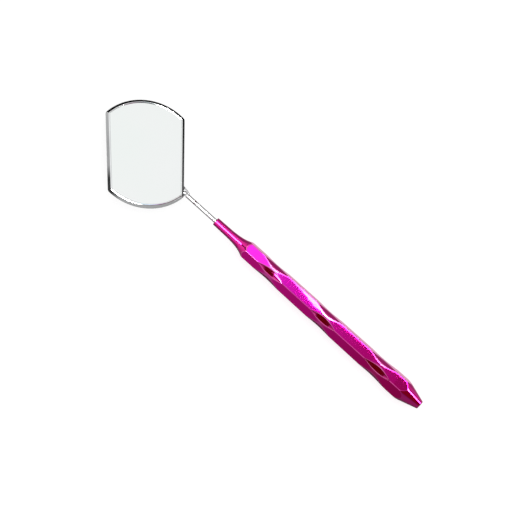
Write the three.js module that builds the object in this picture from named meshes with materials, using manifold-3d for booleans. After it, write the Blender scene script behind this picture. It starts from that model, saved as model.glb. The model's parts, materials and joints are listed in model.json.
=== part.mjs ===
// Mouth mirror with a screw-in head: a turned hexagonal handle, a thin stem and a large framed mirror.
//
// Units are millimetres and +Z is up. The origin is the centre of the flat face at the handle's tail.
// The handle's axis lies along X with the mirror at the -X end, and one hexagon flat faces straight up.

import * as THREE from 'three';
import { mergeVertices } from 'three/addons/utils/BufferGeometryUtils.js';
import Module from 'manifold-3d';

const wasm = await Module();
wasm.setup();

// ---------------------------------------------------------------- driving dimensions

const FIT_GAP = 0.05; // clearance between pieces that touch

// Handle: a tapered hexagonal bar, turned down to a neck, three waists and a tail cone.
const HANDLE_LENGTH = 125;
const HEX_STATIONS = [
  // distance from the tail, radius over the hexagon's corners
  { fromTail: 0, cornerRadius: 5.57 },
  { fromTail: 16, cornerRadius: 5.57 },
  { fromTail: 30, cornerRadius: 5.1 },
  { fromTail: 112, cornerRadius: 4.5 },
];
const TAIL_FACE_RADIUS = 2.05;
const TAIL_CONE_ANGLE = THREE.MathUtils.degToRad(17);
const WAIST_PITCH = 32;
const LAST_WAIST_FROM_TAIL = 26.9;
const WAIST_RADII = [4.62, 4.29, 4.05]; // from the tail to the front
const WAIST_FORM_RADIUS = 45; // radius of the form tool that cuts each waist
const NECK_FRONT_RADIUS = 1.93;
const NECK_BACK_RADIUS = 2.05;
const NECK_CHAMFER = 0.2;
const NECK_LENGTH = 7.8; // straight part, before the flare
const FLARE_END_FROM_FRONT = 19.4; // where the flare reaches the hexagon's corners
const FLARE_END_RADIUS = 4.56;
const FLARE_LEAD_IN = { along: 5.5, out: 0.12 }; // the curve's first handle, at the neck
const FLARE_LEAD_OUT = { along: 2, out: 1.62 }; // the curve's last handle, at the hexagon
const TURNING_CLEAR_RADIUS = 6.2; // the turned form stays outside the hexagon here

// Threaded joint: an M2.5 ferrule on the stem, in a blind socket in the neck.
const THREAD_RADIUS = 1.25;
const SOCKET_RADIUS = 1.3;
const SOCKET_DEPTH = 6.5;
const FERRULE_LENGTH = 5;
const FERRULE_RECESS = 0.3; // the ferrule's front end sits this far inside the neck

// Stem
const STEM_RADIUS = 1;
const STEM_REACH = 26; // from the handle's front face to the stem's soldered end

// Head: a disc with two nearly parallel flat sides, in a thin metal frame.
const HEAD_CENTRE_FROM_TAIL = 169;
const HEAD_SIDEWAYS = 0.34;
const HEAD_ROLL = THREE.MathUtils.degToRad(7); // about the handle's axis
const HEAD_TURN = THREE.MathUtils.degToRad(40.2); // in the head's own plane
const HEAD_RADIUS = 26.25;
const HEAD_WIDTH = 36.4; // across the two flat sides, through the centre
const HEAD_SIDE_SLOPE = THREE.MathUtils.degToRad(1.3); // each flat side leans in towards the bottom
const HEAD_CORNER_RADIUS = 1.8;
const LEAST_CORNER_RADIUS = 0.3; // of an outline moved far in

// The head's rim is a round bead: the case is its lower half and the bezel its upper half.
const HEAD_THICKNESS = 3;
const SHELL_THICKNESS = 0.4; // of the case and the bezel
const WINDOW_INSET = 2; // from the head's outline to the bezel's inner edge
const FLANGE_THICKNESS = 0.35; // the case's locating flange, inside the bezel
const FLANGE_TOP = 1.8; // above the head's back

// What the head holds, from its back to its front
const FILLING_INSET = 1.25; // from the head's outline to the glass's edge
const CEMENT_THICKNESS = 0.3;
const COATING_THICKNESS = 0.1;
const GLASS_TOP = 2.5; // above the head's back
const SEAL_TOP = 2.4; // above the head's back

// Solder: a long bead that holds the stem's end to the head's back.
const SOLDER_FROM_FRONT = 22.5; // its middle, in front of the handle
const SOLDER_HALF_LENGTH = 6.6;
const SOLDER_HALF_WIDTH = 2.1;
const SOLDER_DEPTH = 1.6;

const CUT_OVERRUN = 1; // cutting shapes run this far past the faces they cut

// Facets
const HEX_SIDES = 6;
const ROUND_SEGMENTS = 40;
const WAIST_STEPS = 26;
const FLARE_STEPS = 12;
const OUTLINE_SEGMENTS = 6;
const BEAD_SEGMENTS = 5;
const BEAD_LAND = 0.02; // height of the straight band at the middle of the bead

// ---------------------------------------------------------------- materials

const anodised = new THREE.MeshStandardMaterial({ color: 0xb4006e, roughness: 0.22, metalness: 1 });
const steel = new THREE.MeshStandardMaterial({ color: 0xc9ccce, roughness: 0.18, metalness: 1 });
const polished = new THREE.MeshStandardMaterial({ color: 0xd7dadb, roughness: 0.08, metalness: 1 });
const solder = new THREE.MeshStandardMaterial({ color: 0xb7b9ba, roughness: 0.3, metalness: 1 });
const mirror = new THREE.MeshStandardMaterial({ color: 0xeaf2ee, roughness: 0.02, metalness: 1 });
const silvering = new THREE.MeshStandardMaterial({ color: 0xbfc4c6, roughness: 0.1, metalness: 1 });
const cement = new THREE.MeshStandardMaterial({ color: 0xcfc8b8, roughness: 0.9, metalness: 0 });
const sealant = new THREE.MeshStandardMaterial({ color: 0xd9dcda, roughness: 0.6, metalness: 0 });

// ---------------------------------------------------------------- solids

/** Turn a closed geometry into a solid that can be joined and cut. */
function toSolid(geometry) {
  const bare = geometry.clone();
  bare.deleteAttribute('normal');
  bare.deleteAttribute('uv');
  const merged = mergeVertices(bare);
  const index = merged.index.array;
  const triangles = [];
  for (let i = 0; i < index.length; i += 3) {
    const [a, b, c] = [index[i], index[i + 1], index[i + 2]];
    if (a !== b && b !== c && c !== a) triangles.push(a, b, c);
  }
  const mesh = new wasm.Mesh({
    numProp: 3,
    vertProperties: new Float32Array(merged.attributes.position.array),
    triVerts: new Uint32Array(triangles),
  });
  return new wasm.Manifold(mesh);
}

/** Turn a solid back into a geometry. */
function toGeometry(solid) {
  const mesh = solid.getMesh();
  const geometry = new THREE.BufferGeometry();
  geometry.setAttribute('position', new THREE.BufferAttribute(mesh.vertProperties, 3));
  geometry.setIndex(new THREE.BufferAttribute(mesh.triVerts, 1));
  geometry.computeVertexNormals();
  return geometry;
}

/** A named mesh made from a solid. */
function meshOf(name, solid, material) {
  const mesh = new THREE.Mesh(toGeometry(solid), material);
  mesh.name = name;
  return mesh;
}

/** Revolve a profile of (distance along the handle, radius) points about the X axis. */
function revolve(points, segments = ROUND_SEGMENTS, firstAngle = 0) {
  const profile = points.map((point) => new THREE.Vector2(point.y, point.x));
  const geometry = new THREE.LatheGeometry(profile, segments, firstAngle);
  geometry.rotateZ(-Math.PI / 2);
  return toSolid(geometry);
}

/** A round rod between two places on the X axis. */
function rod(fromX, toX, radius) {
  return revolve([
    new THREE.Vector2(fromX, 0),
    new THREE.Vector2(fromX, radius),
    new THREE.Vector2(toX, radius),
    new THREE.Vector2(toX, 0),
  ]);
}

// ---------------------------------------------------------------- handle

const frontX = -HANDLE_LENGTH;

/** The hexagonal bar before turning, with flats facing up and down. */
function hexagonalBar() {
  const ends = HEX_STATIONS.map(({ fromTail, cornerRadius }) => new THREE.Vector2(-fromTail, cornerRadius));
  const foremost = HEX_STATIONS[HEX_STATIONS.length - 1];
  const points = [
    new THREE.Vector2(frontX, 0),
    new THREE.Vector2(frontX, foremost.cornerRadius),
    ...ends.reverse(),
    new THREE.Vector2(0, 0),
  ];
  return revolve(points, HEX_SIDES, Math.PI / HEX_SIDES);
}

/** One waist: an arc of the form tool, from clear of the bar down to the waist and out again. */
function waistPoints(centreX, waistRadius) {
  const rise = TURNING_CLEAR_RADIUS - waistRadius;
  const halfAngle = Math.acos(1 - rise / WAIST_FORM_RADIUS);
  const arc = new THREE.EllipseCurve(
    centreX,
    waistRadius + WAIST_FORM_RADIUS,
    WAIST_FORM_RADIUS,
    WAIST_FORM_RADIUS,
    -Math.PI / 2 - halfAngle,
    -Math.PI / 2 + halfAngle,
  );
  return arc.getPoints(WAIST_STEPS);
}

/** The turned form: neck, flare, waists and tail cone. */
function turnedForm() {
  const neckEndX = frontX + NECK_LENGTH;
  const flareEndX = frontX + FLARE_END_FROM_FRONT;
  const flare = new THREE.CubicBezierCurve(
    new THREE.Vector2(neckEndX, NECK_BACK_RADIUS),
    new THREE.Vector2(neckEndX + FLARE_LEAD_IN.along, NECK_BACK_RADIUS + FLARE_LEAD_IN.out),
    new THREE.Vector2(flareEndX - FLARE_LEAD_OUT.along, FLARE_END_RADIUS - FLARE_LEAD_OUT.out),
    new THREE.Vector2(flareEndX, FLARE_END_RADIUS),
  );
  const flareSlope = FLARE_LEAD_OUT.out / FLARE_LEAD_OUT.along;
  const flareClearX = flareEndX + (TURNING_CLEAR_RADIUS - FLARE_END_RADIUS) / flareSlope;
  const waists = WAIST_RADII.map((waistRadius, i) =>
    waistPoints(-LAST_WAIST_FROM_TAIL - i * WAIST_PITCH, waistRadius));
  const coneLength = (TURNING_CLEAR_RADIUS - TAIL_FACE_RADIUS) / Math.tan(TAIL_CONE_ANGLE);
  return revolve([
    new THREE.Vector2(frontX, 0),
    new THREE.Vector2(frontX, NECK_FRONT_RADIUS - NECK_CHAMFER),
    new THREE.Vector2(frontX + NECK_CHAMFER, NECK_FRONT_RADIUS),
    ...flare.getPoints(FLARE_STEPS),
    new THREE.Vector2(flareClearX, TURNING_CLEAR_RADIUS),
    ...waists.reverse().flat(),
    new THREE.Vector2(-coneLength, TURNING_CLEAR_RADIUS),
    new THREE.Vector2(0, TAIL_FACE_RADIUS),
    new THREE.Vector2(0, 0),
  ]);
}

function makeHandle() {
  const outside = hexagonalBar().intersect(turnedForm());
  const socket = rod(frontX - CUT_OVERRUN, frontX + SOCKET_DEPTH, SOCKET_RADIUS);
  return meshOf('handle', outside.subtract(socket), anodised);
}

// ---------------------------------------------------------------- stem and ferrule

const ferruleFrontX = frontX + FERRULE_RECESS;
const ferruleBackX = ferruleFrontX + FERRULE_LENGTH;

/** The threaded ferrule, drawn at its major diameter. */
function makeFerrule() {
  const outside = rod(ferruleFrontX, ferruleBackX, THREAD_RADIUS);
  const bore = rod(ferruleFrontX - CUT_OVERRUN, ferruleBackX + CUT_OVERRUN, STEM_RADIUS + FIT_GAP);
  return meshOf('thread_ferrule', outside.subtract(bore), steel);
}

function makeStem() {
  return meshOf('stem', rod(frontX - STEM_REACH, ferruleBackX, STEM_RADIUS), steel);
}

// ---------------------------------------------------------------- head

/** The head's outline, moved in by the given distance: two arcs, two sloping sides, four fillets. */
function headOutline(inset) {
  const radius = HEAD_RADIUS - inset;
  const fillet = Math.max(HEAD_CORNER_RADIUS - inset, LEAST_CORNER_RADIUS);
  const sideDistance = (HEAD_WIDTH / 2) * Math.cos(HEAD_SIDE_SLOPE) - inset - fillet;
  const along = Math.sqrt((radius - fillet) ** 2 - sideDistance ** 2);
  const normal = new THREE.Vector2(Math.cos(HEAD_SIDE_SLOPE), -Math.sin(HEAD_SIDE_SLOPE));
  const tangent = new THREE.Vector2(Math.sin(HEAD_SIDE_SLOPE), Math.cos(HEAD_SIDE_SLOPE));
  const top = normal.clone().multiplyScalar(sideDistance).addScaledVector(tangent, along);
  const bottom = normal.clone().multiplyScalar(sideDistance).addScaledVector(tangent, -along);
  const topAngle = Math.atan2(top.y, top.x);
  const bottomAngle = Math.atan2(bottom.y, bottom.x);
  const outline = new THREE.Shape();
  outline.absarc(bottom.x, bottom.y, fillet, bottomAngle, -HEAD_SIDE_SLOPE);
  outline.absarc(top.x, top.y, fillet, -HEAD_SIDE_SLOPE, topAngle);
  outline.absarc(0, 0, radius, topAngle, Math.PI - topAngle);
  outline.absarc(-top.x, top.y, fillet, Math.PI - topAngle, Math.PI + HEAD_SIDE_SLOPE);
  outline.absarc(-bottom.x, bottom.y, fillet, Math.PI + HEAD_SIDE_SLOPE, Math.PI - bottomAngle);
  outline.absarc(0, 0, radius, Math.PI - bottomAngle, 2 * Math.PI + bottomAngle);
  return outline;
}

/** A plate of the head's shape between two heights. */
function headPlate(inset, fromZ, toZ) {
  const geometry = new THREE.ExtrudeGeometry(headOutline(inset), {
    depth: toZ - fromZ,
    curveSegments: OUTLINE_SEGMENTS,
    bevelEnabled: false,
  });
  geometry.translate(0, 0, fromZ);
  return toSolid(geometry);
}

/** A ring of the head's shape between two heights. */
function headRing(outerInset, innerInset, fromZ, toZ) {
  const hole = headPlate(innerInset, fromZ - CUT_OVERRUN, toZ + CUT_OVERRUN);
  return headPlate(outerInset, fromZ, toZ).subtract(hole);
}

/** The head's whole round-edged body, moved in on all sides by the given distance. */
function roundedBody(inset) {
  const halfThickness = HEAD_THICKNESS / 2 - inset;
  const edgeRadius = halfThickness - BEAD_LAND / 2;
  const geometry = new THREE.ExtrudeGeometry(headOutline(inset), {
    depth: BEAD_LAND,
    curveSegments: OUTLINE_SEGMENTS,
    bevelEnabled: true,
    bevelThickness: edgeRadius,
    bevelSize: edgeRadius,
    bevelOffset: -edgeRadius,
    bevelSegments: BEAD_SEGMENTS,
  });
  geometry.translate(0, 0, (HEAD_THICKNESS - BEAD_LAND) / 2);
  return toSolid(geometry);
}

const seamHeight = HEAD_THICKNESS / 2;
const cementBottom = SHELL_THICKNESS + FIT_GAP;
const cementTop = cementBottom + CEMENT_THICKNESS;
const coatingTop = cementTop + FIT_GAP + COATING_THICKNESS;
const flangeInset = SHELL_THICKNESS + 2 * FIT_GAP;
const sealInset = flangeInset + FLANGE_THICKNESS + FIT_GAP;

/** The hollow shell that the case and the bezel are the two halves of. */
function rimShell() {
  return roundedBody(0).subtract(roundedBody(SHELL_THICKNESS));
}

/** The polished ring: the upper half of the bead, with its lip over the glass's edge. */
function makeBezel() {
  const upperHalf = headRing(-CUT_OVERRUN, WINDOW_INSET, seamHeight + FIT_GAP, HEAD_THICKNESS + CUT_OVERRUN);
  return meshOf('rim_bezel', rimShell().intersect(upperHalf), polished);
}

/** The pressed tray that holds the glass: the lower half of the bead, with a flange inside the bezel. */
function makeCase() {
  const lowerHalf = headPlate(-CUT_OVERRUN, -CUT_OVERRUN, seamHeight);
  const flange = headRing(flangeInset, flangeInset + FLANGE_THICKNESS, seamHeight / 2, FLANGE_TOP);
  const tray = rimShell().intersect(lowerHalf).add(flange.intersect(roundedBody(0)));
  return meshOf('head_case', tray, steel);
}

function makeCementBed() {
  return meshOf('cement_bed', headPlate(FILLING_INSET, cementBottom, cementTop), cement);
}

function makeCoating() {
  return meshOf('silver_coating', headPlate(FILLING_INSET, cementTop + FIT_GAP, coatingTop), silvering);
}

function makeGlass() {
  return meshOf('mirror_glass', headPlate(FILLING_INSET, coatingTop + FIT_GAP, GLASS_TOP), mirror);
}

/** The sealant ring between the glass's edge and the case. */
function makeEdgeSeal() {
  const ring = headRing(sealInset, FILLING_INSET - FIT_GAP, coatingTop + FIT_GAP, SEAL_TOP);
  return meshOf('edge_seal', ring, sealant);
}

/** Solder around the stem's end, under the head's back, which is at the given height. */
function makeSolder(backHeight) {
  const bead = new THREE.SphereGeometry(1, ROUND_SEGMENTS / 2, ROUND_SEGMENTS / 4);
  bead.scale(SOLDER_HALF_LENGTH, SOLDER_HALF_WIDTH, SOLDER_DEPTH);
  bead.translate(frontX - SOLDER_FROM_FRONT, 0, backHeight - FIT_GAP);
  const headroom = new THREE.BoxGeometry(4 * SOLDER_HALF_LENGTH, 4 * SOLDER_HALF_WIDTH, SOLDER_DEPTH);
  headroom.translate(frontX - SOLDER_FROM_FRONT, 0, backHeight - FIT_GAP + SOLDER_DEPTH / 2);
  const stemSpace = rod(frontX - STEM_REACH - FIT_GAP, frontX, STEM_RADIUS + FIT_GAP);
  return meshOf('solder_joint', toSolid(bead).subtract(toSolid(headroom)).subtract(stemSpace), solder);
}

/** The head and its solder, turned together about the handle's axis. */
function makeHead() {
  const backHeight = STEM_RADIUS + FIT_GAP;
  const plates = new THREE.Group();
  plates.position.set(-HEAD_CENTRE_FROM_TAIL, HEAD_SIDEWAYS, backHeight);
  plates.rotation.z = HEAD_TURN;
  plates.add(makeCase(), makeCementBed(), makeCoating(), makeGlass(), makeEdgeSeal(), makeBezel());
  const head = new THREE.Group();
  head.rotation.x = -HEAD_ROLL;
  head.add(plates, makeSolder(backHeight));
  return head;
}

// ---------------------------------------------------------------- assembly

const mouthMirror = new THREE.Group();
mouthMirror.add(makeHandle(), makeFerrule(), makeStem(), makeHead());

export default mouthMirror;
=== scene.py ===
"""Looks of the mouth mirror: a magenta anodised handle, a steel stem and a framed mirror.

All lengths are in metres. The frame's X axis is the handle's axis, with the tail at x = 0 and the head at -X,
and +Z is up. Sizes with MM behind them are millimetres.
"""

import json
import math

import bmesh
import bpy
import numpy as np
from mathutils import Matrix, Vector


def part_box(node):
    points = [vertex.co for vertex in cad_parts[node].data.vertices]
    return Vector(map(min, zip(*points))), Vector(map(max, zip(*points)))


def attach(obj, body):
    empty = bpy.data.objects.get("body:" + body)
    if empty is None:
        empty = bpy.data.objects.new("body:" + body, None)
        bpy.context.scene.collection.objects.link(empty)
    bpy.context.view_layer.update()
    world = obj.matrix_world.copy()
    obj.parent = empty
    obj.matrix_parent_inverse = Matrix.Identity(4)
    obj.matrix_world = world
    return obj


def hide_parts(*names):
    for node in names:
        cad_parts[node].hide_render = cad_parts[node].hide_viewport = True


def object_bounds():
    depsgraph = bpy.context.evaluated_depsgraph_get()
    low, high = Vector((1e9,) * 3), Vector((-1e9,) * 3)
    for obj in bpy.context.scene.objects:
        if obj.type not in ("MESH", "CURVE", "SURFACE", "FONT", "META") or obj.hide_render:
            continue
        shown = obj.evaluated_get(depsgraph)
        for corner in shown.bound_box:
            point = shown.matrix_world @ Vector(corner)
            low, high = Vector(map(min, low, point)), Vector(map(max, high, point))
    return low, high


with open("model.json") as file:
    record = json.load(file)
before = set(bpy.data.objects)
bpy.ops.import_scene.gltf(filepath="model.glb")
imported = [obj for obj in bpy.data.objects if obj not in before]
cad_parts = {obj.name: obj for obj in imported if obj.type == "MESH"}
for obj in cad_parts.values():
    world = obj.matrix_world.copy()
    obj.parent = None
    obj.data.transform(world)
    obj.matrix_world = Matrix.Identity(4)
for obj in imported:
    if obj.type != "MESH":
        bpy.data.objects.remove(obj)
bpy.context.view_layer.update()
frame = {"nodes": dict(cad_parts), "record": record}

MM = 0.001

# ---------------------------------------------------------------- camera

CAMERA_ELEVATION = math.radians(71.3)
CAMERA_ROLL = math.radians(42.02)  # the handle runs down to the right
CAMERA_TARGET = Vector((-0.10074, 0.0005, 0.00017))
CAMERA_DISTANCE = 1.6
CAMERA_SENSOR = 36.0
VIEW_WIDTH = 0.2327  # width of the view at the target

# ---------------------------------------------------------------- handle

HANDLE_LENGTH = -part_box("handle")[0].x
HEX_STATIONS = [(0, 5.57), (16, 5.57), (30, 5.1), (112, 4.5)]  # mm from the tail, mm over the corners
HEX_FACE_ANGLES = np.radians([30, 90, 150, 210, 270, 330])
HEX_EDGE_SHARPNESS = 75  # of the smooth maximum that rounds the hexagon's edges
TURNED_EDGE_SHARPNESS = 150  # the same, where a turned surface meets a flat
TAIL_FACE_RADIUS = 2.05 * MM
TAIL_CONE_SLOPE = math.tan(math.radians(17))
TAIL_EDGE_RADIUS = 0.18 * MM
TAIL_FACE_RINGS = (0.25 * MM, 0.8 * MM, 1.4 * MM)  # radii of the rings on the tail's flat face
TAIL_FADE = (14 * MM, 20 * MM)  # from the tail, where the painted highlight and wear on the borders fade out
WAISTS = [(26.9, 4.62), (58.9, 4.29), (90.9, 4.05)]  # mm from the tail, mm radius
WAIST_FORM_RADIUS = 45 * MM
NECK_RADII = (1.93 * MM, 2.05 * MM)  # at the front face, where the flare starts
NECK_LENGTH = 7.8 * MM
NECK_CHAMFER = 0.2 * MM
NECK_EDGE = 0.04 * MM  # how far the chamfer's worn edge runs back from the front face
NECK_FACE_STEP = 0.03 * MM
FLARE_LENGTH = 11.6 * MM
FLARE_END_RADIUS = 4.56 * MM
FLARE_LEAD_IN = (5.5 * MM, 0.12 * MM)
FLARE_LEAD_OUT = (2 * MM, 1.62 * MM)
CLEAR_RADIUS = 6.2 * MM
COLUMNS_PER_SIDE = 32
COLUMN_CROWDING = 0.6  # how much closer the columns are near the hexagon's edges
ROW_STEP = 0.25 * MM
ROUND_POINTS = 64  # round the stem and the ferrule
EDGE_STEPS = 6  # across a rounded edge
# How brightly each edge is worn; at the hexagon's corners and where a turned surface meets a flat the pale
# colour is also painted highlight
TAIL_EDGE_WEAR = 0.6
NECK_EDGE_WEAR = 0.8
THREAD_WEAR = 0.2
CORNER_WEAR_AND_HIGHLIGHT = 0.3
CORNER_WEAR_AND_HIGHLIGHT_WIDTH = 2.2  # degrees
BORDER_WEAR_AND_HIGHLIGHT = 2.4  # where a turned surface meets a flat
TAIL_BORDER_SHARE = 0.15  # of it that is left at the tail

# ---------------------------------------------------------------- thread

THREAD_PITCH = 0.45 * MM
SOCKET_RADIUS = 1.3 * MM
SOCKET_DEPTH = 6.5 * MM
SOCKET_GROOVE = 0.1 * MM
SOCKET_LEAD_IN = 0.15 * MM
SOCKET_ROWS = 72
FERRULE_RADIUS = 1.25 * MM
FERRULE_GROOVE = 0.12 * MM
FERRULE_BORE = 1.04 * MM
FERRULE_EASE = 0.08 * MM
ROWS_PER_PITCH = 8

# ---------------------------------------------------------------- stem and solder

STEM_EASE = 0.25 * MM
STEM_ROWS = 60
SOLDER_VOXEL = 0.12 * MM
SOLDER_SMOOTHING = 0.5
SOLDER_SMOOTHINGS = 3

# ---------------------------------------------------------------- head

HEAD_TURN = math.radians(40.2)  # in the head's own plane
# The rest of the head's sizes are in mm; an inset is measured in from the head's outline
HEAD_RADIUS = 26.25
HEAD_WIDTH = 36.4
HEAD_SIDE_SLOPE = math.radians(1.3)
HEAD_CORNER_RADIUS = 1.8
LEAST_CORNER_RADIUS = 0.3
BEAD_RADIUS = 1.49
BEAD_POINTS = 22  # across the outside of each half of the bead
SEAM_HALF_GAP = 0.06  # between the bezel and the case
SHELL_THICKNESS = 0.4
WINDOW_INSET = 1.68
LIP_TURN = 0.1  # radians of the bead that the lip's rolled edge takes
LIP_FIRST_STEP = 0.2  # share of the rolled edge's quarter turn
LIP_EASE = 0.05
BEZEL_INNER_POINTS = 10
CASE_TOP_ANGLE = -0.01  # radians above straight out, where the case's bead ends
CASE_INNER_ANGLE = -0.8
CASE_INNER_POINTS = 8
BACK_INSETS = (8, 4, 2)
FLOOR_INSETS = (4, 8)  # of the tray's inside
FLANGE_INSETS = (0.5, 0.85)
FLANGE_EASE = 0.05
GLASS_INSET = 1.25
GLASS_EASE = 0.12
GLASS_BACK_INSET = 8
GLASS_FACE_INSETS = (2.5, 4, 8, 12)

# ---------------------------------------------------------------- floor and room

FLOOR_HALF = 3.0
FLOOR_GAP = 0.01 * MM  # under the handle's lowest flat
FLOOR_GLOW = 0.78
FLOOR_ALBEDO = (0.33, 0.33, 0.33, 1)
ROOM_STRENGTH = 1.0
# Brightness of what the object reflects, by the angle from straight up towards +Y, in degrees: for directions
# across the handle, towards the head and towards the tail
RAMP_SCALE = 4.0
ACROSS = [
    (-180, 0.1), (-128, 0.2), (-101, 0.38), (-80, 0.9), (-62, 1.3), (-50, 1.0), (-42, 0.5), (-30, 0.4),
    (-5, 0.5), (5, 1.0), (20, 1.08), (40, 1.02), (56, 0.42), (118, 0.35), (132, 0.85), (150, 0.8),
    (160, 0.4), (170, 0.1), (180, 0.1),
]
HEADWARDS = [
    (-180, 0.3), (-120, 0.5), (-90, 0.8), (-55, 1.2), (-20, 1.25), (10, 1.25), (40, 0.9), (70, 0.55),
    (110, 0.35), (160, 0.6), (180, 0.4),
]
TAILWARDS = [
    (-180, 0.15), (-100, 0.36), (-64, 0.34), (-46, 0.15), (6, 0.15), (16, 0.75), (80, 0.7),
    (106, 0.5), (150, 0.3), (180, 0.25),
]
RAMP_BLEND = (0.2, 0.34)  # how far a direction leans along the axis where the ramps change over

# ---------------------------------------------------------------- lights and flags

# Stops are (mm along X, strength), or (mm along X, strengths of red, green and blue)
EVEN_STOPS = [(-200, 1), (100, 1)]
FLAT_HEIGHT = 4.2 * MM  # of the handle's top flat, on average
KEY_DISTANCE = 0.43  # a wide panel, brightest over the handle's front
KEY_STOPS = [
    (-230, (1.3, 1.3, 1.3)), (-125, (1.3, 1.3, 1.3)), (-112, (1.5, 2.6, 2.8)), (-98, (1.4, 2.6, 2.6)),
    (-86, (0.84, 0.7, 1.4)), (-60, (0.72, 0.4, 1.1)), (-45, (0.58, 0.3, 0.66)), (-27, (0.5, 0.2, 0.46)),
    (9, (0.37, 0.15, 0.28)), (40, (0.33, 0.1, 0.22)),
]
KEY_EDGES = (-40, 24)  # mm across the flat
# A narrow strip light beside the panel, outlined as it is seen in the top flat, in mm
STRIP_DISTANCE = 0.1
STRIP_STOPS = [(-300, 24), (-84, 26), (-72, 60), (-58, 60), (-48, 44), (-25, 36), (40, 36)]
STRIP_OUTLINE = [
    (-100, 3.2), (-84, 2.7), (-76, 1.6), (-68, 0.3), (-60, 0.5), (-56, 1.3), (-52, 2.3), (-44, 2.7),
    (-36, 3.2), (4, 3.3), (4, 4.8), (-100, 4.8),
]
FRONT_DISTANCE = 0.15  # a light close to the camera's direction, over the neck and the stem
FRONT_STOPS = [(-190, 26), (-128, 34), (-113, 34), (-109, 16), (-98, 16), (-97, 12)]
FRONT_ANGLES = (-27, -9)
FRONT_FLAG_STOPS = [(-262, 0.03), (-192, 0.03)]  # beyond the front light, seen in the flare's hollow
STEM_SCREEN = [(-138, -16, -6), (-138, 26, -6), (-138, 26, 29), (-138, -16, 29)]  # dark, in the flare's end
STEM_SCREEN_COLOUR = (0.12, 0.01, 0.03)
FLAGS = [(25.1, 5.2), (57.7, 4), (89.9, 3)]  # over the waists: mm from the tail, half length in mm
FLAG_DISTANCE = 0.05
FLAG_ANGLES = (-68, 2)
FLAG_COLOUR = (0.16, 0.012, 0.01)
COLLAR_OFFSET = 1  # mm from the head's outline to the screens that stand round it
COLLAR_HEIGHTS = (-6, 7)
DARK_COLLAR = (4, 128)  # outline points, from the stem's corner round to the far corner
DARK_COLLAR_STOPS = [(-205, 0.005), (-166, 0.005), (-139, 0.16)]
GREY_COLLAR = (128, 252)
GREY_COLLAR_STOPS = [(-205, 0.65), (-179, 0.5), (-175, 0.06), (-168, 0.06), (-163, 0.55), (-135, 0.42)]
SIDE_SCREEN = [(-126, 30, -5), (5, 30, -5), (5, 30, 30), (-126, 30, 30)]
SIDE_SCREEN_STOPS = [(-126, 0.35), (-60, 0.42), (5, 0.45)]
LOW_SCREEN = [(-130, -59, -32), (12, -59, -32), (12, -59, 10), (-130, -59, 10)]  # beside the lower faces
LOW_SCREEN_STOPS = [
    (-130, (0.45, 0.3, 0.44)), (-90, (0.44, 0.26, 0.43)), (-60, (0.37, 0.2, 0.33)), (-25, (0.29, 0.12, 0.19)),
    (12, (0.24, 0.1, 0.14)),
]
TAIL_LIGHT = [(22, 30, 80), (22, 41, 74), (52, 34, 60), (52, 24, 65)]
TAIL_LIGHT_STOPS = [(0, 45), (60, 45)]
TAIL_FLAG = [(20, 9, 74), (54, 9, 62), (54, -47, 41), (18, -56, 53)]
TAIL_FLAG_COLOUR = (0.26, 0.008, 0.04)

# ---------------------------------------------------------------- dye, with painted highlight on the edges and painted dark reflection on the waists

DRAWN_DYES = ((0.74, 0.001, 0.29, 1), (0.80, 0.003, 0.34, 1))  # darkest and lightest cloud on the flats
# Redder, darker dye on the turned waists: partly a real difference in finish, partly a painted dark
# reflection
TURNED_DYE_AND_DARK_REFLECTION = (0.66, 0.012, 0.24, 1)
# Pale pink of worn anodising on the edges; along the corners and the turned borders it is also a painted
# highlight
WORN_AND_HIGHLIGHT_DYE = (1.0, 0.5, 0.86, 1)


# ---------------------------------------------------------------- meshes


def mesh_object(name, vertices, faces, sharp_angle=40):
    """A smooth-shaded mesh whose edges over the given angle in degrees stay sharp."""
    mesh = bpy.data.meshes.new(name)
    mesh.from_pydata(np.asarray(vertices).tolist(), [], faces)
    mesh.validate()
    mesh.shade_smooth()
    mesh.set_sharp_from_angle(angle=math.radians(sharp_angle))
    piece = bpy.data.objects.new(name, mesh)
    bpy.context.scene.collection.objects.link(piece)
    return piece


def loft(name, rings, closed=False, sharp_angle=40):
    """A skin over rings of equally many points. It is capped at both ends, unless it closes on itself."""
    rings = np.asarray(rings)
    count, points = rings.shape[:2]
    faces = []
    for i in range(count if closed else count - 1):
        here, there = i * points, (i + 1) % count * points
        for j in range(points):
            k = (j + 1) % points
            faces.append((here + j, here + k, there + k, there + j))
    if not closed:
        faces.append(tuple(reversed(range(points))))
        faces.append(tuple(range((count - 1) * points, count * points)))
    return mesh_object(name, rings.reshape(-1, 3), faces, sharp_angle)


def face_outwards(piece):
    """Turn the faces outwards."""
    shape = bmesh.new()
    shape.from_mesh(piece.data)
    bmesh.ops.recalc_face_normals(shape, faces=shape.faces)
    shape.to_mesh(piece.data)
    shape.free()
    return piece


def add_attribute(piece, name, values):
    """Store one number for each of the mesh's points."""
    attribute = piece.data.attributes.new(name, "FLOAT", "POINT")
    attribute.data.foreach_set("value", np.asarray(values, np.float32).ravel())


def around(x, radius, angles):
    """Points around the X axis, at angles counted from +Y to +Z."""
    x, radius, angles = np.broadcast_arrays(x, radius, angles)
    return np.stack([x, radius * np.cos(angles), radius * np.sin(angles)], axis=-1)


# ---------------------------------------------------------------- the handle's shape


def column_angles():
    """Angles around the handle, closer together near the hexagon's edges."""
    step = (np.arange(COLUMNS_PER_SIDE) + 0.5) / COLUMNS_PER_SIDE
    side = step - COLUMN_CROWDING * np.sin(2 * np.pi * step) / (2 * np.pi)
    return np.radians(60 * (np.arange(6)[:, None] + side[None, :])).ravel()


def hexagon_radius(x, angles):
    """Radius of the tapered bar with rounded edges."""
    stations, corners = np.array(HEX_STATIONS).T * MM
    apothem = np.interp(-x, stations, corners) * math.cos(math.pi / 6)
    facing = np.clip(np.cos(angles[:, None] - HEX_FACE_ANGLES), 0, None) ** HEX_EDGE_SHARPNESS
    return apothem / facing.sum(axis=1) ** (1 / HEX_EDGE_SHARPNESS)


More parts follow.
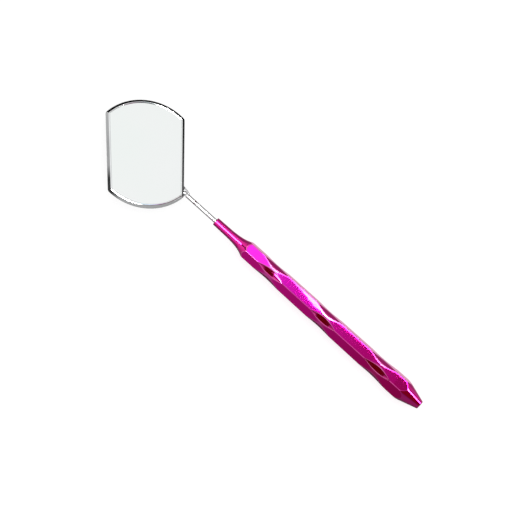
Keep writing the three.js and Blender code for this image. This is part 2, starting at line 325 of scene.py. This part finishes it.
def flare_curve():
    """The flare between the neck and the hexagon, as points of (x, radius)."""
    start = np.array((-HANDLE_LENGTH + NECK_LENGTH, NECK_RADII[1]))
    end = np.array((start[0] + FLARE_LENGTH, FLARE_END_RADIUS))
    first, last = start + FLARE_LEAD_IN, end - FLARE_LEAD_OUT
    t = np.linspace(0, 1, 60)[:, None]
    curve = (1 - t) ** 3 * start + 3 * t * (1 - t) ** 2 * first + 3 * t**2 * (1 - t) * last + t**3 * end
    beyond = end + np.array(FLARE_LEAD_OUT) * 2
    return np.vstack([[-HANDLE_LENGTH, NECK_RADII[0]], curve, beyond])


FLARE = flare_curve()


def turned_radius(x):
    """Radius of the turned form at a place along the handle."""
    radius = np.interp(x, FLARE[:, 0], FLARE[:, 1], right=CLEAR_RADIUS)
    for from_tail, waist in WAISTS:
        along = abs(x + from_tail * MM)
        if along < WAIST_FORM_RADIUS:
            arc = waist * MM + WAIST_FORM_RADIUS - math.sqrt(WAIST_FORM_RADIUS**2 - along**2)
            radius = min(radius, arc)
    return min(radius, TAIL_FACE_RADIUS - x * TAIL_CONE_SLOPE)


def handle_ring(x, angles):
    """One ring of the handle's outside: its radius, how far it is turned, and how close to an edge, as the
    strength of the wear and painted highlight there.
    """
    flat = hexagon_radius(x, angles)
    turned = turned_radius(x)
    sharp = TURNED_EDGE_SHARPNESS
    radius = flat * (1 + (flat / turned) ** sharp) ** (-1 / sharp)
    share = 1 / (1 + (turned / flat) ** sharp)
    facing = np.cos(angles[:, None] - HEX_FACE_ANGLES).max(axis=1)
    from_corner = 30 - np.degrees(np.arccos(np.clip(facing, -1, 1)))
    corner = CORNER_WEAR_AND_HIGHLIGHT * np.exp(-((from_corner / CORNER_WEAR_AND_HIGHLIGHT_WIDTH) ** 2)) * (1 - share)
    border = BORDER_WEAR_AND_HIGHLIGHT * share * (1 - share) * np.interp(-x, TAIL_FADE, (TAIL_BORDER_SHARE, 1))
    return radius, share, np.maximum(corner, border)


def thread_wave(x, angles):
    """0 to 1 across a right-handed V thread."""
    turn = (x / THREAD_PITCH - angles / (2 * np.pi)) % 1
    return 1 - abs(2 * turn - 1)


def make_handle():
    """Bar, flats, waists, neck and threaded socket: one skin from the tail's centre to the socket's end."""
    angles = column_angles()
    rings, shares, edges = [], [], []

    def add(x, radius, share=1.0, edge=0.0):
        """One ring, with how far it is turned and how much wear and painted highlight it has."""
        rings.append(around(x, radius, angles))
        shares.append(np.broadcast_to(share, angles.shape))
        edges.append(np.broadcast_to(edge, angles.shape))

    for radius in TAIL_FACE_RINGS:
        add(0, radius)
    start = TAIL_FACE_RADIUS - TAIL_EDGE_RADIUS
    for step in np.linspace(0, 1, EDGE_STEPS):
        turn = step * math.pi / 2
        back, out = TAIL_EDGE_RADIUS * (math.cos(turn) - 1), TAIL_EDGE_RADIUS * math.sin(turn)
        add(back, start + out, edge=TAIL_EDGE_WEAR)
    first, last = -2 * TAIL_EDGE_RADIUS, -HANDLE_LENGTH + NECK_CHAMFER
    for x in np.linspace(first, last, round((first - last) / ROW_STEP)):
        add(x, *handle_ring(x, angles))
    chamfered = NECK_RADII[0] - NECK_CHAMFER
    add(-HANDLE_LENGTH + NECK_EDGE, chamfered + NECK_EDGE, edge=NECK_EDGE_WEAR)
    add(-HANDLE_LENGTH, chamfered - NECK_FACE_STEP)
    add(-HANDLE_LENGTH, SOCKET_RADIUS + SOCKET_LEAD_IN)
    for depth in np.linspace(SOCKET_LEAD_IN, SOCKET_DEPTH, SOCKET_ROWS):
        x = -HANDLE_LENGTH + depth
        fade = min(1, (SOCKET_DEPTH - depth) / THREAD_PITCH)
        add(x, SOCKET_RADIUS + SOCKET_GROOVE * fade * thread_wave(x, angles), edge=THREAD_WEAR)
    handle = loft("handle_bar", rings)
    add_attribute(handle, "turned", shares)
    add_attribute(handle, "edge", edges)
    return face_outwards(handle)


# ---------------------------------------------------------------- stem, ferrule and solder


ROUND_ANGLES = np.linspace(0, 2 * np.pi, ROUND_POINTS, endpoint=False)


def eased_end(end, inwards, radius, turn):
    """One ring of a rod's rounded end; inwards is 1 or -1, and turn goes from 0 at the end to pi / 2."""
    back, trim = STEM_EASE * (1 - math.cos(turn)), STEM_EASE * (1 - math.sin(turn))
    return around(end + inwards * back, radius - trim, ROUND_ANGLES)


def make_stem():
    """A drawn rod with eased ends."""
    low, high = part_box("stem")
    radius = (high.y - low.y) / 2
    turns = np.linspace(0, math.pi / 2, EDGE_STEPS)
    rings = [eased_end(low.x, 1, radius, turn) for turn in turns]
    for x in np.linspace(low.x + 2 * STEM_EASE, high.x - 2 * STEM_EASE, STEM_ROWS):
        rings.append(around(x, radius, ROUND_ANGLES))
    rings += [eased_end(high.x, -1, radius, turn) for turn in reversed(turns)]
    return face_outwards(loft("stem_rod", rings))


def make_ferrule():
    """A sleeve with a fine external thread."""
    low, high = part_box("thread_ferrule")
    angles = ROUND_ANGLES
    rings = [around(low.x, FERRULE_RADIUS - FERRULE_EASE, angles)]
    for x in np.arange(low.x + FERRULE_EASE, high.x - FERRULE_EASE, THREAD_PITCH / ROWS_PER_PITCH):
        fade = min(1, (x - low.x) / THREAD_PITCH, (high.x - x) / THREAD_PITCH)
        rings.append(around(x, FERRULE_RADIUS - FERRULE_GROOVE * fade * thread_wave(x, angles), angles))
    rings.append(around(high.x, FERRULE_RADIUS - FERRULE_EASE, angles))
    rings.append(around(high.x, FERRULE_BORE, angles))
    rings.append(around(low.x, FERRULE_BORE, angles))
    return face_outwards(loft("ferrule_thread", rings, closed=True))


# ---------------------------------------------------------------- head


def head_matrix():
    """From the head's own frame, with its back's centre at the origin, to the row frame."""
    mount = next(m for m in frame["record"]["mounts"] if m["name"] == "head_back")
    normal = -Vector(mount["axis"])
    along = Vector((1, 0, 0))
    across = normal.cross(along)
    tilt = Matrix((along, across, normal)).transposed().to_4x4()
    return Matrix.Translation(mount["pos_m"]) @ tilt @ Matrix.Rotation(HEAD_TURN, 4, "Z")


HEAD = np.array(head_matrix())


def head_heights(node):
    """Lowest and highest place of a CAD node above the head's back, in mm."""
    inverse = np.linalg.inv(HEAD)
    points = np.array([v.co for v in frame["nodes"][node].data.vertices])
    heights = points @ inverse[2, :3] + inverse[2, 3]
    return heights.min() / MM, heights.max() / MM


def arc(centre, radius, start, end, count):
    """Points on an arc in the head's plane."""
    angles = np.linspace(start, end, count)
    return np.stack([centre[0] + radius * np.cos(angles), centre[1] + radius * np.sin(angles)], axis=1)


def head_outline(inset):
    """The head's outline in mm, moved in by inset: two arcs and two sloping sides with rounded corners."""
    radius = HEAD_RADIUS - inset
    fillet = max(HEAD_CORNER_RADIUS - inset, LEAST_CORNER_RADIUS)
    slope = HEAD_SIDE_SLOPE
    side = HEAD_WIDTH / 2 * math.cos(slope) - inset - fillet
    along = math.sqrt((radius - fillet) ** 2 - side**2)
    normal = np.array((math.cos(slope), -math.sin(slope)))
    tangent = np.array((math.sin(slope), math.cos(slope)))
    top, bottom = normal * side + tangent * along, normal * side - tangent * along
    top_angle, bottom_angle = math.atan2(top[1], top[0]), math.atan2(bottom[1], bottom[0])
    flip = np.array((-1, 1))
    right = [
        arc(bottom, fillet, bottom_angle, -slope, 12),
        np.linspace(bottom + normal * fillet, top + normal * fillet, 42)[1:-1],
        arc(top, fillet, -slope, top_angle, 12),
    ]
    left = [(part * flip)[::-1] for part in reversed(right)]
    upper = arc((0, 0), radius, top_angle, math.pi - top_angle, 62)[1:-1]
    lower = arc((0, 0), radius, math.pi - bottom_angle, 2 * math.pi + bottom_angle, 62)[1:-1]
    return np.vstack([*right, upper, *left, lower])


def head_ring(inset, height):
    """The head's outline at a height above its back, in the row frame."""
    outline = head_outline(inset)
    local = np.column_stack([outline, np.full(len(outline), height)]) * MM
    return local @ HEAD[:3, :3].T + HEAD[:3, 3]


def bead_point(angle, radius):
    """(inset, height) on the round bead, at an angle above straight out."""
    return BEAD_RADIUS - radius * math.cos(angle), BEAD_RADIUS + radius * math.sin(angle)


def make_bezel():
    """The upper half of the bead, rolled in over the glass's edge."""
    seam = SEAM_HALF_GAP / BEAD_RADIUS
    crest = math.pi / 2 + math.asin((WINDOW_INSET - BEAD_RADIUS) / BEAD_RADIUS) - LIP_TURN
    profile = [bead_point(a, BEAD_RADIUS) for a in np.linspace(seam, crest, BEAD_POINTS)]
    lip_bottom = head_heights("rim_bezel")[1] - SHELL_THICKNESS
    inner, height = profile[-1]
    turn_in = WINDOW_INSET - inner
    for step in np.linspace(LIP_FIRST_STEP, 1, EDGE_STEPS):
        turn = step * math.pi / 2
        profile.append((inner + turn_in * math.sin(turn), height - turn_in * (1 - math.cos(turn))))
    profile.append((WINDOW_INSET, lip_bottom + LIP_EASE))
    profile.append((WINDOW_INSET - LIP_EASE, lip_bottom))
    inner_radius = BEAD_RADIUS - SHELL_THICKNESS
    profile += [bead_point(a, inner_radius) for a in np.linspace(math.pi / 2, seam, BEZEL_INNER_POINTS)]
    return face_outwards(loft("bezel_ring", [head_ring(*point) for point in profile], closed=True))


def make_case():
    """The pressed tray: the bead's lower half and the flat back."""
    outside = [(inset, 0) for inset in BACK_INSETS]
    outside += [bead_point(a, BEAD_RADIUS) for a in np.linspace(-math.pi / 2, CASE_TOP_ANGLE, BEAD_POINTS)]
    top = head_heights("head_case")[1]
    outer, inner = FLANGE_INSETS
    flange = [(outer, BEAD_RADIUS), (outer, top - FLANGE_EASE), (outer + FLANGE_EASE, top)]
    flange += [(inner - FLANGE_EASE, top), (inner, top - FLANGE_EASE), (inner, BEAD_RADIUS)]
    inner_radius = BEAD_RADIUS - SHELL_THICKNESS
    turns = np.linspace(CASE_INNER_ANGLE, -math.pi / 2, CASE_INNER_POINTS)
    inside = [bead_point(a, inner_radius) for a in turns]
    inside += [(inset, SHELL_THICKNESS) for inset in FLOOR_INSETS]
    profile = outside + flange + inside
    return face_outwards(loft("case_tray", [head_ring(*point) for point in profile]))


def make_glass():
    """The mirror plate, with ground edges."""
    low, high = head_heights("mirror_glass")
    profile = [(GLASS_BACK_INSET, low), (GLASS_INSET + GLASS_EASE, low), (GLASS_INSET, low + GLASS_EASE)]
    for turn in np.linspace(0, math.pi / 2, EDGE_STEPS):
        inset = GLASS_INSET + GLASS_EASE * (1 - math.cos(turn))
        profile.append((inset, high - GLASS_EASE * (1 - math.sin(turn))))
    profile += [(inset, high) for inset in GLASS_FACE_INSETS]
    return face_outwards(loft("mirror_plate", [head_ring(*point) for point in profile]))


def make_solder():
    """Solder drawn up along the stem, with a settled, slightly lumpy skin."""
    rough_shape = frame["nodes"]["solder_joint"].data.copy()
    piece = bpy.data.objects.new("solder_fillet", rough_shape)
    bpy.context.scene.collection.objects.link(piece)
    remesh = piece.modifiers.new("even_faces", "REMESH")
    remesh.mode = "VOXEL"
    remesh.voxel_size = SOLDER_VOXEL
    smooth = piece.modifiers.new("settled", "SMOOTH")
    smooth.factor = SOLDER_SMOOTHING
    smooth.iterations = SOLDER_SMOOTHINGS
    bpy.context.view_layer.update()
    graph = bpy.context.evaluated_depsgraph_get()
    settled = bpy.data.meshes.new_from_object(piece.evaluated_get(graph))
    piece.modifiers.clear()
    piece.data = settled
    settled.name = "solder_fillet"
    settled.shade_smooth()
    return piece


# ---------------------------------------------------------------- node helpers


def node(tree, kind, inputs=None, **settings):
    """A shader node with its settings, and its inputs set to values or linked to sockets."""
    made = tree.nodes.new(kind)
    for name, value in settings.items():
        setattr(made, name, value)
    for key, value in (inputs or {}).items():
        socket = made.inputs[key]
        if isinstance(value, bpy.types.NodeSocket):
            tree.links.new(value, socket)
        else:
            socket.default_value = value
    return made


def math_node(tree, operation, *values):
    """One operation on values or sockets."""
    return node(tree, "ShaderNodeMath", dict(enumerate(values)), operation=operation).outputs[0]


def noise(tree, coordinates, scale, stretch=(1, 1, 1), detail=3.0, roughness=0.5):
    """Noise in the row frame; scale is in cycles per metre, and stretch scales it along each axis."""
    mapping = node(tree, "ShaderNodeMapping", {"Vector": coordinates, "Scale": stretch})
    inputs = {"Vector": mapping.outputs[0], "Scale": scale, "Detail": detail, "Roughness": roughness}
    return node(tree, "ShaderNodeTexNoise", inputs).outputs["Fac"]


def ranged(tree, value, low, high, to_low, to_high, kind="LINEAR"):
    """A value brought from one range to another, and held inside it."""
    inputs = {"Value": value, "From Min": low, "From Max": high, "To Min": to_low, "To Max": to_high}
    return node(tree, "ShaderNodeMapRange", inputs, interpolation_type=kind).outputs["Result"]


def mixed(tree, share, first, second):
    """A colour between two colours."""
    made = node(tree, "ShaderNodeMix", data_type="RGBA")
    sockets = {s.identifier: s for s in made.inputs}
    for key, value in (("Factor_Float", share), ("A_Color", first), ("B_Color", second)):
        if isinstance(value, bpy.types.NodeSocket):
            tree.links.new(value, sockets[key])
        else:
            sockets[key].default_value = value
    return next(s for s in made.outputs if s.identifier == "Result_Color")


def bump(tree, height, distance, normal=None):
    """A normal that follows a height, on top of another normal if one is given; distance is in metres."""
    inputs = {"Height": height, "Distance": distance, "Strength": 1.0}
    if normal is not None:
        inputs["Normal"] = normal
    return node(tree, "ShaderNodeBump", inputs).outputs[0]


def new_material(name):
    """An empty material: its tree, its Principled shader and its object coordinates."""
    made = bpy.data.materials.new(name)
    made.use_nodes = True
    tree = made.node_tree
    shader = tree.nodes["Principled BSDF"]
    coordinates = tree.nodes.new("ShaderNodeTexCoord").outputs["Object"]
    return made, tree, shader, coordinates


def set_shader(tree, shader, **values):
    """Set the shader's inputs; underscores stand for spaces."""
    for name, value in values.items():
        socket = shader.inputs[name.replace("_", " ")]
        if isinstance(value, bpy.types.NodeSocket):
            tree.links.new(value, socket)
        else:
            socket.default_value = value


# ---------------------------------------------------------------- materials


def anodised_material():
    """Dyed anodised aluminium: drawn flats, turned waists, and a thin clear oxide over the dye; its pale
    edges are partly wear and partly painted highlight, and the waists' darker dye is partly a painted dark
    reflection.
    """
    made, tree, shader, place = new_material("anodised_magenta")
    turned = node(tree, "ShaderNodeAttribute", attribute_name="turned").outputs["Fac"]
    edge = node(tree, "ShaderNodeAttribute", attribute_name="edge").outputs["Fac"]
    cloud = noise(tree, place, 55, detail=4)
    drawn = noise(tree, place, 900, stretch=(0.02, 1, 1), detail=4, roughness=0.6)
    lathe = noise(tree, place, 900, stretch=(4, 0.03, 0.03), detail=2)
    peel = noise(tree, place, 620, detail=1.5)
    lines = node(tree, "ShaderNodeMix", {0: turned, 2: drawn, 3: lathe}).outputs[0]
    drawn_dye = mixed(tree, ranged(tree, cloud, 0.3, 0.7, 0, 1), *DRAWN_DYES)
    # The turned waists' darker dye is partly a real difference in finish and partly a painted dark reflection
    dye = mixed(tree, turned, drawn_dye, TURNED_DYE_AND_DARK_REFLECTION)
    patchy = ranged(tree, noise(tree, place, 300, detail=4), 0.3, 0.7, 0.45, 0.9)
    # Pale edges: worn anodising, and painted highlight along the hexagon's corners and where the turned
    # surfaces meet the flats
    wear_and_highlight = math_node(tree, "MULTIPLY", edge, patchy)
    colour = mixed(tree, wear_and_highlight, dye, WORN_AND_HIGHLIGHT_DYE)
    drawn_roughness = ranged(tree, drawn, 0.3, 0.7, 0.02, 0.045)
    turned_roughness = ranged(tree, lathe, 0.3, 0.7, 0.045, 0.085)
    surface = node(tree, "ShaderNodeMix", {0: turned, 2: drawn_roughness, 3: turned_roughness}).outputs[0]
    roughness = math_node(tree, "ADD", surface, math_node(tree, "MULTIPLY", wear_and_highlight, 0.1))
    wavy = bump(tree, peel, 4e-6)
    normal = bump(tree, lines, 1.0e-7, normal=wavy)
    set_shader(tree, shader, Base_Color=colour, Metallic=1.0, Roughness=roughness, Normal=normal)
    set_shader(tree, shader, Coat_Weight=0.25, Coat_Roughness=0.03, Coat_IOR=1.5, Coat_Normal=wavy)
    return made


def steel_material(name, low, high, smears, stretch, roughness, lines_height):
    """Polished metal with fine lines along one direction, a cloud in its colour and dull smears."""
    made, tree, shader, place = new_material(name)
    cloud = noise(tree, place, 90, detail=4)
    lines = noise(tree, place, 1400, stretch=stretch, detail=3)
    smear = noise(tree, place, 260, detail=5, roughness=0.6)
    colour = mixed(tree, ranged(tree, cloud, 0.3, 0.7, 0, 1), (*low, 1), (*high, 1))
    spread = ranged(tree, lines, 0.3, 0.7, *roughness)
    rough = math_node(tree, "ADD", spread, ranged(tree, smear, 0.55, 0.8, 0, smears))
    set_shader(tree, shader, Base_Color=colour, Metallic=1.0, Roughness=rough)
    set_shader(tree, shader, Normal=bump(tree, lines, lines_height))
    return made


def solder_material():
    """Tin solder: bright, slightly frosted, with flow ripples."""
    made, tree, shader, place = new_material("tin_solder")
    frost = noise(tree, place, 1800, detail=5, roughness=0.65)
    ripple = noise(tree, place, 500, stretch=(1.6, 1, 1), detail=2)
    colour = mixed(tree, ranged(tree, frost, 0.35, 0.7, 0, 1), (0.5, 0.5, 0.51, 1), (0.72, 0.72, 0.71, 1))
    roughness = ranged(tree, frost, 0.3, 0.7, 0.2, 0.38)
    set_shader(tree, shader, Base_Color=colour, Metallic=1.0, Roughness=roughness)
    set_shader(tree, shader, Normal=bump(tree, frost, 4e-6, normal=bump(tree, ripple, 4e-5)))
    return made


def mirror_material():
    """Silvered glass, with a faint tint, light smears and a clear glass face."""
    made, tree, shader, place = new_material("silvered_mirror")
    smear = noise(tree, place, 46, stretch=(1, 1.7, 1), detail=6, roughness=0.62)
    cloud = noise(tree, place, 30, detail=2)
    tint = ranged(tree, cloud, 0.35, 0.65, 0, 1)
    colour = mixed(tree, tint, (0.815, 0.85, 0.835, 1), (0.83, 0.85, 0.845, 1))
    set_shader(tree, shader, Base_Color=colour, Metallic=1.0)
    set_shader(tree, shader, Roughness=ranged(tree, smear, 0.5, 0.8, 0.012, 0.045))
    set_shader(tree, shader, Coat_Weight=1.0, Coat_Roughness=0.0, Coat_IOR=1.52)
    set_shader(tree, shader, Normal=bump(tree, cloud, 2e-6))
    return made


def matt_material(name, low, high, scale, roughness, height):
    """A dull filling with a fine grain."""
    made, tree, shader, place = new_material(name)
    grain = noise(tree, place, scale, detail=6, roughness=0.6)
    colour = mixed(tree, ranged(tree, grain, 0.3, 0.7, 0, 1), (*low, 1), (*high, 1))
    set_shader(tree, shader, Base_Color=colour, Roughness=ranged(tree, grain, 0.3, 0.7, *roughness))
    set_shader(tree, shader, Normal=bump(tree, grain, height))
    return made


# ---------------------------------------------------------------- the pieces in place


def finish_piece(piece, body, material, replaced):
    """Give a piece its material, and the body that it rides on in place of a node."""
    piece.data.materials.clear()
    piece.data.materials.append(material)
    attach(piece, body)
    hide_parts(replaced)


def paint_node(name, material):
    """Give a node that keeps its own shape its material."""
    piece = frame["nodes"][name]
    piece.data.materials.clear()
    piece.data.materials.append(material)


# Each metal: darkest and lightest colour, roughness that smears add, stretch of its lines along each axis,
# lowest and highest roughness, and height of its lines
METALS = {
    "stem_steel": ((0.6, 0.6, 0.6), (0.7, 0.7, 0.7), 0.05, (0.03, 1, 1), (0.06, 0.14), 4e-7),
    "thread_steel": ((0.55, 0.55, 0.55), (0.66, 0.66, 0.65), 0.06, (1, 0.1, 0.1), (0.12, 0.2), 5e-7),
    "case_steel": ((0.58, 0.59, 0.6), (0.68, 0.69, 0.7), 0.05, (0.05, 1, 1), (0.1, 0.22), 5e-7),
    "rim_steel": ((0.66, 0.67, 0.68), (0.76, 0.77, 0.77), 0.05, (0.3, 1, 1), (0.04, 0.1), 3e-7),
    "silver_layer": ((0.8, 0.8, 0.78), (0.9, 0.9, 0.89), 0.03, (1, 1, 1), (0.05, 0.12), 2e-7),
}
metals = {name: steel_material(name, *values) for name, values in METALS.items()}
cement = matt_material("plaster_cement", (0.5, 0.46, 0.38), (0.66, 0.62, 0.53), 900, (0.8, 0.95), 2e-5)
sealant = matt_material("clear_sealant", (0.6, 0.62, 0.6), (0.75, 0.77, 0.75), 600, (0.45, 0.65), 8e-6)

finish_piece(make_handle(), "handle", anodised_material(), "handle")
finish_piece(make_ferrule(), "ferrule", metals["thread_steel"], "thread_ferrule")
finish_piece(make_stem(), "head", metals["stem_steel"], "stem")
finish_piece(make_solder(), "head", solder_material(), "solder_joint")
finish_piece(make_case(), "head", metals["case_steel"], "head_case")
finish_piece(make_glass(), "head", mirror_material(), "mirror_glass")
finish_piece(make_bezel(), "head", metals["rim_steel"], "rim_bezel")
paint_node("cement_bed", cement)
paint_node("silver_coating", metals["silver_layer"])
paint_node("edge_seal", sealant)

# ---------------------------------------------------------------- stage

TOWARD_CAMERA = Vector((0, -math.cos(CAMERA_ELEVATION), math.sin(CAMERA_ELEVATION)))
CAMERA_PLACE = CAMERA_TARGET + TOWARD_CAMERA * CAMERA_DISTANCE


def make_floor():
    """A plain pale floor that the object lies on."""
    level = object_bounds()[0][2] - FLOOR_GAP
    corners = [(x * FLOOR_HALF, y * FLOOR_HALF, level) for x, y in ((-1, -1), (1, -1), (1, 1), (-1, 1))]
    floor = mesh_object("floor", corners, [(0, 1, 2, 3)])
    made, tree, shader, _ = new_material("pale_floor")
    set_shader(tree, shader, Base_Color=FLOOR_ALBEDO, Roughness=0.9, Specular_IOR_Level=0.0)
    set_shader(tree, shader, Emission_Color=(1, 1, 1, 1), Emission_Strength=FLOOR_GLOW)
    floor.data.materials.append(made)
    floor.visible_glossy = False


def ramp(tree, place, stops):
    """A ramp with stops of (place, brightness), where a brightness can be three numbers."""
    made = node(tree, "ShaderNodeValToRGB", {"Fac": place})
    elements = made.color_ramp.elements
    elements.remove(elements[1])
    for index, (position, brightness) in enumerate(stops):
        element = elements[0] if index == 0 else elements.new(position)
        element.position = position
        element.color = (*np.broadcast_to(brightness, 3), 1)
    return made.outputs["Color"]


def make_world():
    """A pale room; reflections see softboxes and darker gaps, by direction."""
    world = bpy.data.worlds.new("studio")
    bpy.context.scene.world = world
    world.use_nodes = True
    tree = world.node_tree
    tree.nodes.clear()
    direction = tree.nodes.new("ShaderNodeTexCoord").outputs["Generated"]
    x, y, z = node(tree, "ShaderNodeSeparateXYZ", {0: direction}).outputs
    place = ranged(tree, math_node(tree, "ARCTAN2", y, z), -math.pi, math.pi, 0, 1)
    across, headwards, tailwards = (
        ramp(tree, place, [((angle + 180) / 360, level / RAMP_SCALE) for angle, level in stops])
        for stops in (ACROSS, HEADWARDS, TAILWARDS)
    )
    start, end = RAMP_BLEND
    to_head = ranged(tree, x, -end, -start, 1, 0, "SMOOTHSTEP")
    to_tail = ranged(tree, x, start, end, 0, 1, "SMOOTHSTEP")
    structure = mixed(tree, to_tail, mixed(tree, to_head, across, headwards), tailwards)
    reflected = node(tree, "ShaderNodeBackground", {"Color": structure, "Strength": RAMP_SCALE})
    pale = node(tree, "ShaderNodeBackground", {"Color": (1, 1, 1, 1), "Strength": ROOM_STRENGTH})
    glossy = tree.nodes.new("ShaderNodeLightPath").outputs["Is Glossy Ray"]
    both = node(tree, "ShaderNodeMixShader", {0: glossy, 1: pale.outputs[0], 2: reflected.outputs[0]})
    output = tree.nodes.new("ShaderNodeOutputWorld")
    tree.links.new(both.outputs[0], output.inputs[0])
    world.cycles.sampling_method = "NONE"


def span_of(stops):
    """The first and last place of the stops, in mm along X."""
    return stops[0][0], stops[-1][0]


def glowing_screen(name, vertices, faces, stops, colour=(1, 1, 1)):
    """A soft light or a flag that only reflections see; its glow follows the stops along X."""
    screen = mesh_object(name, vertices, faces)
    made = bpy.data.materials.new(name)
    made.use_nodes = True
    tree = made.node_tree
    tree.nodes.clear()
    place = tree.nodes.new("ShaderNodeTexCoord").outputs["Object"]
    x = node(tree, "ShaderNodeSeparateXYZ", {0: place}).outputs[0]
    first, last = span_of(stops)
    most = max(np.max(strength) for _, strength in stops)
    share = ranged(tree, x, first * MM, last * MM, 0, 1)
    levels = [((at - first) / (last - first), np.multiply(strength, colour) / most) for at, strength in stops]
    glow = ramp(tree, share, levels)
    emission = node(tree, "ShaderNodeEmission", {"Color": glow, "Strength": float(most)})
    output = tree.nodes.new("ShaderNodeOutputMaterial")
    tree.links.new(emission.outputs[0], output.inputs[0])
    screen.data.materials.append(made)
    screen.visible_camera = False
    screen.visible_diffuse = False
    screen.visible_shadow = False


def glowing_card(name, corners, stops, colour=(1, 1, 1)):
    """A flat screen."""
    glowing_screen(name, corners, [tuple(range(len(corners)))], stops, colour)


def seen_in_top_flat(x, y, distance):
    """The point, a distance away, that the camera sees in the handle's top flat at (x, y) mm."""
    flat_point = Vector((x * MM, y * MM, FLAT_HEIGHT))
    mirrored_camera = Vector((CAMERA_PLACE.x, CAMERA_PLACE.y, 2 * FLAT_HEIGHT - CAMERA_PLACE.z))
    return flat_point + (flat_point - mirrored_camera).normalized() * distance


def card_along(name, span, angles, distance, stops, colour=(1, 1, 1)):
    """A card along the handle, between two angles in degrees from straight up towards +Y."""
    (low, high), (first, last) = span, angles
    reach = distance / math.cos(math.radians(last - first) / 2)
    corners = []
    for x, angle in ((low, first), (high, first), (high, last), (low, last)):
        turn = math.radians(angle)
        corners.append((x * MM, reach * math.sin(turn), reach * math.cos(turn)))
    glowing_card(name, corners, stops, colour)


def collar(name, points, stops):
    """A screen standing round part of the head."""
    outline = np.arange(*points)
    walls = [head_ring(-COLLAR_OFFSET, height) for height in COLLAR_HEIGHTS]
    low, high = (wall[outline % len(wall)] for wall in walls)
    count = len(outline)
    faces = [(i, i + 1, count + i + 1, count + i) for i in range(count - 1)]
    glowing_screen(name, np.vstack([low, high]), faces, stops)


def make_lights():
    """The lights and flags that the polished surfaces show."""
    first, last = span_of(KEY_STOPS)
    low, high = KEY_EDGES
    corners = [(first, low), (last, low), (last, high), (first, high)]
    glowing_card("key_panel", [seen_in_top_flat(x, y, KEY_DISTANCE) for x, y in corners], KEY_STOPS)
    outline = [seen_in_top_flat(x, y, STRIP_DISTANCE) for x, y in STRIP_OUTLINE]
    glowing_card("strip_light", outline, STRIP_STOPS)
    card_along("front_light", span_of(FRONT_STOPS), FRONT_ANGLES, FRONT_DISTANCE, FRONT_STOPS)
    card_along("front_flag", span_of(FRONT_FLAG_STOPS), FRONT_ANGLES, FRONT_DISTANCE, FRONT_FLAG_STOPS)
    glowing_card("stem_screen", np.array(STEM_SCREEN) * MM, EVEN_STOPS, STEM_SCREEN_COLOUR)
    for from_tail, half_length in FLAGS:
        span = (-from_tail - half_length, -from_tail + half_length)
        card_along("waist_flag", span, FLAG_ANGLES, FLAG_DISTANCE, EVEN_STOPS, FLAG_COLOUR)
    collar("dark_collar", DARK_COLLAR, DARK_COLLAR_STOPS)
    collar("grey_collar", GREY_COLLAR, GREY_COLLAR_STOPS)
    glowing_card("side_screen", np.array(SIDE_SCREEN) * MM, SIDE_SCREEN_STOPS)
    glowing_card("low_screen", np.array(LOW_SCREEN) * MM, LOW_SCREEN_STOPS)
    glowing_card("tail_light", np.array(TAIL_LIGHT) * MM, TAIL_LIGHT_STOPS)
    glowing_card("tail_flag", np.array(TAIL_FLAG) * MM, EVEN_STOPS, TAIL_FLAG_COLOUR)


def make_camera():
    """The camera, turned about its view so that the handle runs down to the right."""
    data = bpy.data.cameras.new("camera")
    data.sensor_width = CAMERA_SENSOR
    data.lens = CAMERA_DISTANCE * CAMERA_SENSOR / VIEW_WIDTH
    data.clip_end = 20
    camera = bpy.data.objects.new("camera", data)
    bpy.context.scene.collection.objects.link(camera)
    level_up = Vector((0, math.sin(CAMERA_ELEVATION), math.cos(CAMERA_ELEVATION)))
    right = Vector((1, 0, 0)) * math.cos(CAMERA_ROLL) + level_up * math.sin(CAMERA_ROLL)
    up = TOWARD_CAMERA.cross(right)
    turn = Matrix((right, up, TOWARD_CAMERA)).transposed().to_4x4()
    camera.matrix_world = Matrix.Translation(CAMERA_PLACE) @ turn
    bpy.context.scene.camera = camera


make_floor()
make_world()
make_lights()
make_camera()
bpy.context.scene.view_settings.view_transform = "Standard"
